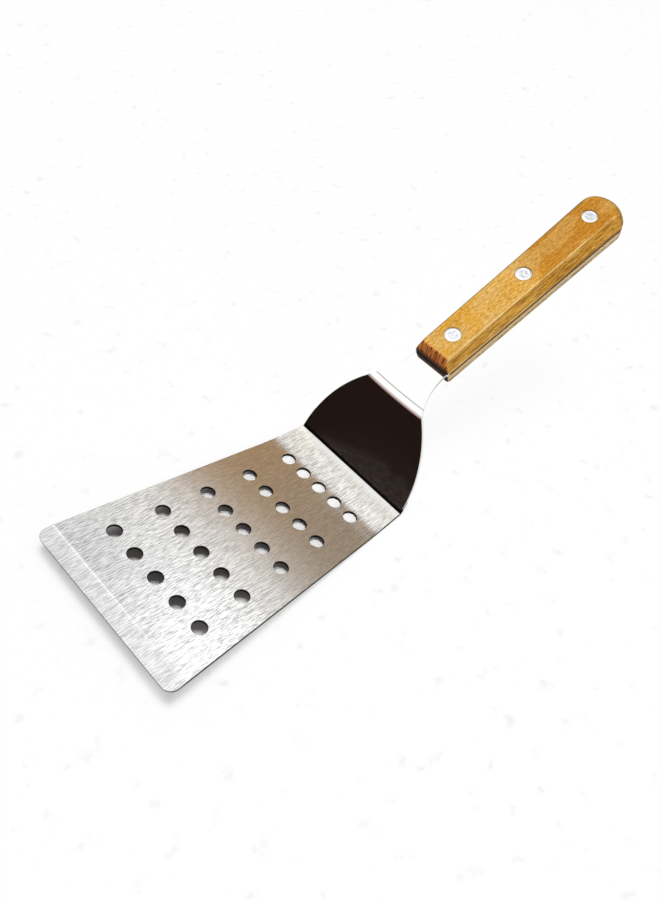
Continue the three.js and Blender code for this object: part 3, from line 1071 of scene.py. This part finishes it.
def scale_outline(sheet, land, height, inward=0.0):
    """Points round a scale at a height above its seat, in the handle's frame."""
    sizes = sheet.sizes
    top = sizes.scale
    leaning = max(0.0, height - land) / (top - land)
    below_face = min(1.0, (top - height) / sizes.arris)
    rounding = inward + sizes.arris * (1 - math.sqrt(below_face)) ** 2
    side = rounding
    if height < SEAT_BREAK:
        side += SEAT_BREAK - height
    rising = max(0.0, height - sizes.front_upright) / (top - sizes.front_upright)
    front = rounding + sizes.front_slope * rising
    risen = min(1.0, height / top)
    tip = sizes.handle - inward - sizes.butt_rounding * (1 - math.sqrt(1 - risen**2))
    front_half = sheet.front_half - sizes.front_inset * leaning - side
    butt_half = sheet.butt_half - sizes.butt_inset * leaning - side
    round_from = tip - lerp(sizes.butt_round, sizes.butt_face_round, risen) + inward
    corner = sizes.handle_corner + CORNER_GROWTH * front

    right = []
    for i in range(SCALE_CORNER_STEPS + 1):
        turn = lerp(math.pi, 1.5 * math.pi, i / SCALE_CORNER_STEPS)
        along = front + corner + corner * math.cos(turn)
        right.append((along, corner - front_half + corner * math.sin(turn)))
    for i in range(1, SCALE_SIDE_STEPS):
        part = i / SCALE_SIDE_STEPS
        right.append((lerp(front + corner, round_from, part), -lerp(front_half, butt_half, part)))
    left = [(along, -across) for along, across in reversed(right)]
    butt = []
    for i in range(SCALE_BUTT_STEPS + 1):
        turn = lerp(-math.pi / 2, math.pi / 2, i / SCALE_BUTT_STEPS)
        along = round_from + (tip - round_from) * math.cos(turn)
        butt.append((along, butt_half * math.sin(turn)))
    return right + butt + left


def scale_mesh(sheet, land):
    """A scale for the upper side of the tang, in the handle's frame, without its bores."""
    sizes = sheet.sizes
    seat = sizes.sheet / 2 + sizes.seat_gap
    work = bmesh.new()
    levels = [(height, 0.0) for height in scale_heights(sizes, land)]
    levels.append((sizes.scale, FACE_BORDER))
    loops = []
    for height, inward in levels:
        outline = scale_outline(sheet, land, height, inward)
        loops.append([work.verts.new((along, across, seat + height)) for along, across in outline])
    bridge_loops(work, loops)
    return mesh_of(work, "plain_scale")


def rivet_tree(name, material):
    """A row of rivet halves along x: a head with a dished middle, and its stem below."""
    tree, kit, given = geometry_tree(
        name,
        counts=("Rivets", "Head sides", "Head rings", "Stem sides"),
        numbers=(
            "First",
            "Last",
            "Head diameter",
            "Head depth",
            "Head top",
            "Edge",
            "Dish",
            "Stem diameter",
            "Stem length",
        ),
    )
    index = kit.add("GeometryNodeInputIndex")
    step = (given["Last"] - given["First"]) / kit.largest(given["Rivets"] - 1.0, 1.0)
    spots = kit.add(
        "GeometryNodePoints",
        {},
        {
            "Count": given["Rivets"],
            "Position": kit.join(given["First"] + index * step, 0.0, given["Head top"]),
        },
    )
    radius = given["Head diameter"] / 2.0
    depth = given["Head depth"]
    disc = kit.add(
        "GeometryNodeMeshCylinder",
        {"fill_type": "TRIANGLE_FAN"},
        {
            "Vertices": given["Head sides"],
            "Side Segments": 2,
            "Fill Segments": given["Head rings"],
            "Radius": radius,
            "Depth": depth,
        },
        output="Mesh",
    )
    x, y, z = kit.split(kit.add("GeometryNodeInputPosition"))
    out = kit.math("SQRT", x * x + y * y) / radius
    upper = kit.smooth(z / depth, 0.3, 0.45)
    round_edge = kit.smooth(out, 0.76, 1.0)
    middle = kit.smooth(out, 0.74, 0.6)
    sink = upper * (round_edge * given["Edge"] + middle * given["Dish"])
    head = kit.add(
        "GeometryNodeSetPosition",
        {},
        {"Geometry": disc, "Position": kit.join(x, y, z - sink - 0.5 * depth)},
    )
    stem = kit.add(
        "GeometryNodeMeshCylinder",
        {"fill_type": "NGON"},
        {
            "Vertices": given["Stem sides"],
            "Radius": given["Stem diameter"] / 2.0,
            "Depth": given["Stem length"],
        },
        output="Mesh",
    )
    drop = kit.join(0.0, 0.0, -1.0 * depth - 0.5 * given["Stem length"])
    hung = kit.add("GeometryNodeSetPosition", {}, {"Geometry": stem, "Offset": drop})
    both = kit.add("GeometryNodeJoinGeometry")
    for part in (hung, head):
        kit.tree.links.new(part.socket, both.socket.node.inputs["Geometry"])
    rivets = kit.add("GeometryNodeInstanceOnPoints", {}, {"Points": spots, "Instance": both})
    end_tree(kit, rivets, material)
    return tree


def lie_on_cad(sheet):
    """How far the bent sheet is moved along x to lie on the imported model."""
    lowest = sheet.frame(0.0) @ Vector((0.0, 0.0, -sheet.sizes.sheet / 2))
    return STEEL_BOX[0].x - lowest.x


def handle_frame(sheet):
    return Matrix.Translation((lie_on_cad(sheet), 0.0, 0.0)) @ sheet.frame(sheet.handle_at)


# Operators


class TURNER_OT_blade(Operator):
    """Punches and bends the sheet that is the blade, shoulder, neck and tang"""

    bl_idname = "turner.blade"
    bl_label = "Blade and tang"

    def execute(self, context):
        sizes = context.scene.turner_sizes
        sheet = Sheet(sizes)
        shift = lie_on_cad(sheet)
        material = steel_material(sheet, context.scene.turner_colours, shift, handle_frame(sheet))
        first = sizes.first_row
        last = sizes.blade - sizes.last_row
        mesh = grown(
            sheet.flat_blank(),
            punch_tree("perforations", material),
            {
                "Rows": sizes.hole_rows,
                "Holes per row": sizes.hole_columns,
                "First row": first,
                "Last row": last,
                "First spread": sheet.half_width(first) - sizes.hole_from_side,
                "Last spread": sheet.half_width(last) - sizes.hole_from_side,
                "Diameter": sizes.hole,
                "Middle height": 0.0,
                "Straight half": sizes.sheet / 2 - sizes.hole_rim,
                "Lower flare": 1.0,
                "Sides": HOLE_SIDES,
            },
        )
        sheet.bend_mesh(mesh, shift)
        add_piece("blade_and_tang.sheet", mesh, ["blade_and_tang"])
        return {"FINISHED"}


class TURNER_OT_scales(Operator):
    """Shapes the two wooden scales and bores them for the rivet heads"""

    bl_idname = "turner.scales"
    bl_label = "Scales"

    def execute(self, context):
        sizes = context.scene.turner_sizes
        colours = context.scene.turner_colours
        sheet = Sheet(sizes)
        handle = handle_frame(sheet)
        turned = Matrix.Rotation(math.pi, 4, "X")
        face = sizes.sheet / 2 + sizes.seat_gap + sizes.scale
        bore_deep = sizes.rivet_head_deep - sizes.rivet_proud + sizes.seat_gap
        # The upper scale's lower band turns to painted shade towards the butt; the lower scale's
        # land stays pale
        golden = {"low_band": 0.9 * MM, "rear_edge": colours.end_tick_and_shade, "pale_land": False}
        sappy = {"low_band": 2.2 * MM, "rear_edge": colours.sapwood, "pale_land": True}
        boards = (
            ("upper_scale", sizes.upper_land, Matrix(), golden),
            ("lower_scale", sizes.lower_land, turned, sappy),
        )
        for node, land, side, look in boards:
            material = wood_material(f"{node}_wood", sheet, colours, handle, **look)
            mesh = grown(
                scale_mesh(sheet, land),
                punch_tree(f"{node}_bores", material),
                {
                    "Rows": len(RIVET_PLACES),
                    "Holes per row": 1,
                    "First row": sizes.rivet_first,
                    "Last row": sizes.handle - sizes.rivet_last,
                    "First spread": 0.0,
                    "Last spread": 0.0,
                    "Diameter": sizes.rivet_head + 2 * sizes.bore_gap,
                    "Middle height": face - bore_deep / 3,
                    "Straight half": bore_deep / 3,
                    "Lower flare": 0.0,
                    "Sides": HOLE_SIDES,
                },
            )
            mesh.transform(handle @ side)
            add_piece(f"{node}.wood", mesh, [node])
        return {"FINISHED"}


class TURNER_OT_rivets(Operator):
    """Sets the rivet pins from above and their sleeves from below"""

    bl_idname = "turner.rivets"
    bl_label = "Rivets"

    def execute(self, context):
        sizes = context.scene.turner_sizes
        handle = handle_frame(Sheet(sizes))
        material = rivet_material(sizes, context.scene.turner_colours, handle)
        tree = rivet_tree("rivet_row", material)
        top = sizes.sheet / 2 + sizes.seat_gap + sizes.scale + sizes.rivet_proud
        under = top - sizes.rivet_head_deep
        stem = 2 * under - sizes.seat_gap
        turned = Matrix.Rotation(math.pi, 4, "X")
        halves = (("pin", sizes.pin, Matrix()), ("sleeve", sizes.sleeve, turned))
        for half, diameter, side in halves:
            mesh = grown(
                bpy.data.meshes.new("no_stock"),
                tree,
                {
                    "Rivets": len(RIVET_PLACES),
                    "Head sides": 64,
                    "Head rings": 16,
                    "Stem sides": 32,
                    "First": sizes.rivet_first,
                    "Last": sizes.handle - sizes.rivet_last,
                    "Head diameter": sizes.rivet_head,
                    "Head depth": sizes.rivet_head_deep,
                    "Head top": top,
                    "Edge": sizes.rivet_edge,
                    "Dish": sizes.rivet_dish,
                    "Stem diameter": diameter,
                    "Stem length": stem,
                },
            )
            mesh.transform(handle @ side)
            nodes = [f"rivet_{half}_{place}" for place in RIVET_PLACES]
            add_piece(f"rivet_{half}s", mesh, nodes)
        return {"FINISHED"}


# Stage


def add_stage(name, mesh, material):
    prop = bpy.data.objects.new(name, mesh)
    bpy.context.scene.collection.objects.link(prop)
    mesh.materials.append(material)
    return prop


def only_reflected(prop):
    """Keeps a card out of everything but reflections."""
    prop.visible_camera = False
    prop.visible_diffuse = False
    prop.visible_transmission = False
    prop.visible_volume_scatter = False
    prop.visible_shadow = False


def curved_card(radius, from_degrees, to_degrees, low, high):
    """An upright card that stands on an arc round the origin."""
    steps = 24
    work = bmesh.new()
    columns = []
    for i in range(steps + 1):
        turn = math.radians(lerp(from_degrees, to_degrees, i / steps))
        foot = radius * math.cos(turn), radius * math.sin(turn)
        columns.append([work.verts.new((*foot, height)) for height in (low, high)])
    for near, far in zip(columns, columns[1:]):
        work.faces.new((near[0], far[0], far[1], near[1]))
    return mesh_of(work, "curved_card")


def level_card(xs, ys, height):
    """A level card between two places on each axis."""
    work = bmesh.new()
    corners = ((xs[0], ys[0]), (xs[1], ys[0]), (xs[1], ys[1]), (xs[0], ys[1]))
    work.faces.new([work.verts.new((*corner, height)) for corner in corners])
    return mesh_of(work, "level_card")


def glow_material(name, shade, strength=1.0):
    material, kit = new_material(name)
    finish_glow(kit, shade, strength)
    return material


def wall_material(colours, radius):
    """A brown wall with a sloping top, over which the room grows white."""
    material, kit = new_material("brown_wall")
    x, y, z = kit.split(kit.object_place())
    turn = kit.math("ARCTAN2", y, x)
    top_slope = 0.32
    level = kit.math("ARCTANGENT", z / radius) + top_slope * turn
    leftward = kit.smooth(turn, math.radians(27), math.radians(38))
    white = kit.smooth(level, math.radians(56), math.radians(60.2))
    bright = kit.smooth(level, math.radians(60.2), math.radians(66))
    dimmer = kit.smooth(turn, math.radians(36), math.radians(50.5))
    shade = kit.layered(
        colours.wall_grey,
        (leftward, colours.wall),
        (white, (0.93, 0.92, 0.90)),
        (bright, kit.blend(dimmer, (1.36, 1.37, 1.38), (0.78, 0.78, 0.78))),
    )
    finish_glow(kit, shade)
    return material


def rosy_card_material(colours, low, high):
    """A card that turns from dark through rosy to white as it rises."""
    material, kit = new_material("rosy_card")
    _, _, z = kit.split(kit.object_place())
    stops = (
        (0.0, colours.dark),
        (0.16, (0.30, 0.19, 0.165)),
        (0.57, (0.78, 0.60, 0.56)),
        (1.0, (0.97, 0.93, 0.92)),
    )
    risen = (z - low) / (high - low)
    finish_glow(kit, kit.add("ShaderNodeValToRGB", {"stops": stops}, {"Fac": risen}))
    return material


def floor_material(colours, sheet):
    """Pale floor with faint specks, which shows white away from the blade's shadow."""
    material, kit = new_material("pale_floor")
    place = kit.object_place()
    x, y, _ = kit.split(place)
    front_x = STEEL_BOX[0].x
    crease_x = sheet.frame(sheet.crease_at).translation.x + lie_on_cad(sheet)
    front_half = sheet.sizes.front_width / 2
    narrowing = (front_half - sheet.heel_half) / (crease_x - front_x)
    out_x = kit.largest(front_x - x, x - crease_x)
    out_y = abs(y) - front_half + narrowing * (x - front_x)
    away = kit.largest(out_x, out_y)
    speck = kit.smooth(kit.grain(place, FLOOR_SPECKS, detail=4.0), 0.6, 0.78)
    speck_tone = 0.93
    speckled = tuple(speck_tone * part for part in colours.floor)
    lit = kit.add("ShaderNodeBsdfDiffuse", {}, {"Color": kit.blend(speck, colours.floor, speckled)})
    clean = kit.blend(speck, WHITE, speckled)
    white = kit.add("ShaderNodeEmission", {}, {"Color": clean, "Strength": 1.0})
    whiteness = 0.92 * kit.smooth(away, -12 * MM, 8 * MM)
    shown = kit.add("ShaderNodeMixShader", {}, {0: whiteness, 1: lit, 2: white})
    thrown_back = kit.add("ShaderNodeBsdfDiffuse", {}, {"Color": (0.4, 0.4, 0.4)})
    mixed = kit.add("ShaderNodeMixShader", {}, {0: kit.seen(), 1: thrown_back, 2: shown})
    kit.add("ShaderNodeOutputMaterial", {}, {"Surface": mixed})
    return material


def light_world(ambient):
    """White to the camera and in reflections, and an even plain light otherwise."""
    world = bpy.data.worlds.new("pale_room")
    world.use_nodes = True
    kit = NodeKit(world.node_tree)
    white = kit.add("ShaderNodeBackground", {}, {"Color": WHITE, "Strength": 1.0})
    even = kit.add("ShaderNodeBackground", {}, {"Color": WHITE, "Strength": ambient})
    mixed = kit.add("ShaderNodeMixShader", {}, {0: kit.seen(), 1: even, 2: white})
    kit.add("ShaderNodeOutputWorld", {}, {"Surface": mixed})
    bpy.context.scene.world = world


def add_lamp(name, power, place, aim, size):
    """A square soft lamp that doesn't show in reflections."""
    data = bpy.data.lights.new(name, "AREA")
    data.energy = power
    data.shape = "SQUARE"
    data.size = size
    lamp = bpy.data.objects.new(name, data)
    lamp.location = place
    lamp.rotation_euler = (Vector(aim) - Vector(place)).to_track_quat("-Z", "Y").to_euler()
    lamp.visible_glossy = False
    bpy.context.scene.collection.objects.link(lamp)


class TURNER_OT_stage(Operator):
    """Sets up the floor, the cards that the steel reflects, the light and the camera"""

    bl_idname = "turner.stage"
    bl_label = "Stage"

    def execute(self, context):
        scene = context.scene
        colours = scene.turner_colours
        settings = scene.turner_stage
        scene.view_settings.view_transform = "Standard"

        floor_ends = (-3.0, 3.0)
        ground = level_card(xs=floor_ends, ys=floor_ends, height=-0.1 * MM)
        add_stage("floor", ground, floor_material(colours, Sheet(scene.turner_sizes)))

        wall_radius = 6.0
        wall = curved_card(wall_radius, from_degrees=-30, to_degrees=120, low=0.0, high=10.4)
        front_radius = 0.7
        front_top = 0.53
        front = curved_card(front_radius, from_degrees=138, to_degrees=184, low=0.0, high=front_top)
        # A dark card beside and under the blade, seen only in reflections, stands in for shade
        # there
        beside = level_card(xs=(-0.75, 0.0), ys=(-0.05, 0.75), height=0.0)
        above = level_card(xs=(-5.0, 0.35), ys=(0.3, 2.8), height=3.0)
        cards = (
            ("wall", wall, wall_material(colours, wall_radius)),
            ("front_card", front, rosy_card_material(colours, low=0.16, high=front_top)),
            ("dark_beside", beside, glow_material("dark_card", colours.dark)),
            ("bright_above", above, glow_material("bright_card", WHITE, strength=1.3)),
        )
        for card in cards:
            only_reflected(add_stage(*card))

        light_world(settings.ambient)
        key_place = (0.05, 0.1, 2.2)
        add_lamp("key", settings.key_power, key_place, aim=(-0.02, 0.0, 0.0), size=0.9)
        fill_place = (-0.1, -1.35, 0.6)
        add_lamp("fill", settings.fill_power, fill_place, aim=(0.06, 0.0, 0.06), size=0.8)

        data = bpy.data.cameras.new("camera")
        data.lens = settings.camera_lens
        data.sensor_width = 36.0
        data.clip_start = 0.01
        camera = bpy.data.objects.new("camera", data)
        camera.location = settings.camera_place
        camera.rotation_euler = Euler(settings.camera_turn)
        scene.collection.objects.link(camera)
        scene.camera = camera
        return {"FINISHED"}


OPERATORS = (TURNER_OT_blade, TURNER_OT_scales, TURNER_OT_rivets, TURNER_OT_stage)


class TURNER_PT_panel(Panel):
    """Lists the operators, and the sizes, colours and stage settings that they use"""

    bl_idname = "TURNER_PT_panel"
    bl_label = "Turner"
    bl_space_type = "VIEW_3D"
    bl_region_type = "UI"
    bl_category = "Turner"

    def draw(self, context):
        for operator in OPERATORS:
            self.layout.operator(operator.bl_idname)
        for group_name, _ in GROUPS:
            group = getattr(context.scene, group_name)
            box = self.layout.box()
            for name in group.__annotations__:
                box.prop(group, name)


GROUPS = (
    ("turner_sizes", TurnerSizes),
    ("turner_colours", TurnerColours),
    ("turner_stage", TurnerStage),
)


def register():
    for name, group in GROUPS:
        bpy.utils.register_class(group)
        setattr(bpy.types.Scene, name, PointerProperty(type=group))
    for operator in OPERATORS:
        bpy.utils.register_class(operator)
    bpy.utils.register_class(TURNER_PT_panel)


def unregister():
    bpy.utils.unregister_class(TURNER_PT_panel)
    for operator in reversed(OPERATORS):
        bpy.utils.unregister_class(operator)
    for name, group in reversed(GROUPS):
        delattr(bpy.types.Scene, name)
        bpy.utils.unregister_class(group)


def main():
    register()
    bpy.ops.turner.blade()
    bpy.ops.turner.scales()
    bpy.ops.turner.rivets()
    bpy.ops.turner.stage()


if __name__ == "__main__":
    main()
